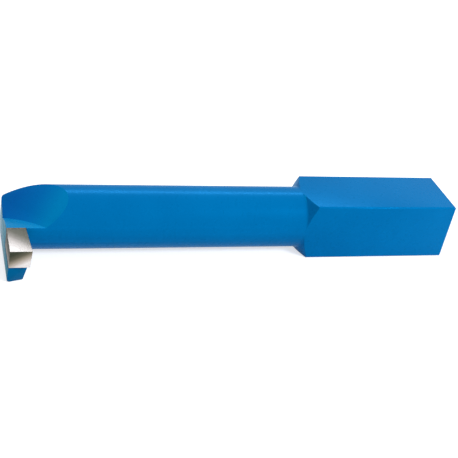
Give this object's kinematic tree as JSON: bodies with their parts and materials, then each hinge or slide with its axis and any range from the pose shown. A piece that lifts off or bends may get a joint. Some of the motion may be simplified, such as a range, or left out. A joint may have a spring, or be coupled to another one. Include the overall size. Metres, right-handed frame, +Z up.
{
  "type": "boring bar",
  "caption": "Hook-type internal boring bar: square shank, round neck, hooked head with a brazed carbide tip.",
  "frame": {"origin": "centre of the square shank's underside, the face that lies in the tool holder", "axes": "+X along the bar from the head to the shank's rear end, -Y the side the hook reaches to, +Z up, the way the rake face looks"},
  "size_m": [0.121, 0.0254, 0.016],
  "materials": {
    "holder": "blue enamel paint, satin gloss, on a steel holder",
    "carbide_tip": "ground cemented carbide",
    "braze_seam": "brazing filler, dull and flux-stained"
  },
  "bodies": {
    "root": {"holder": "holder", "carbide_tip": "carbide_tip", "braze_seam": "braze_seam"}
  },
  "joints": []
}
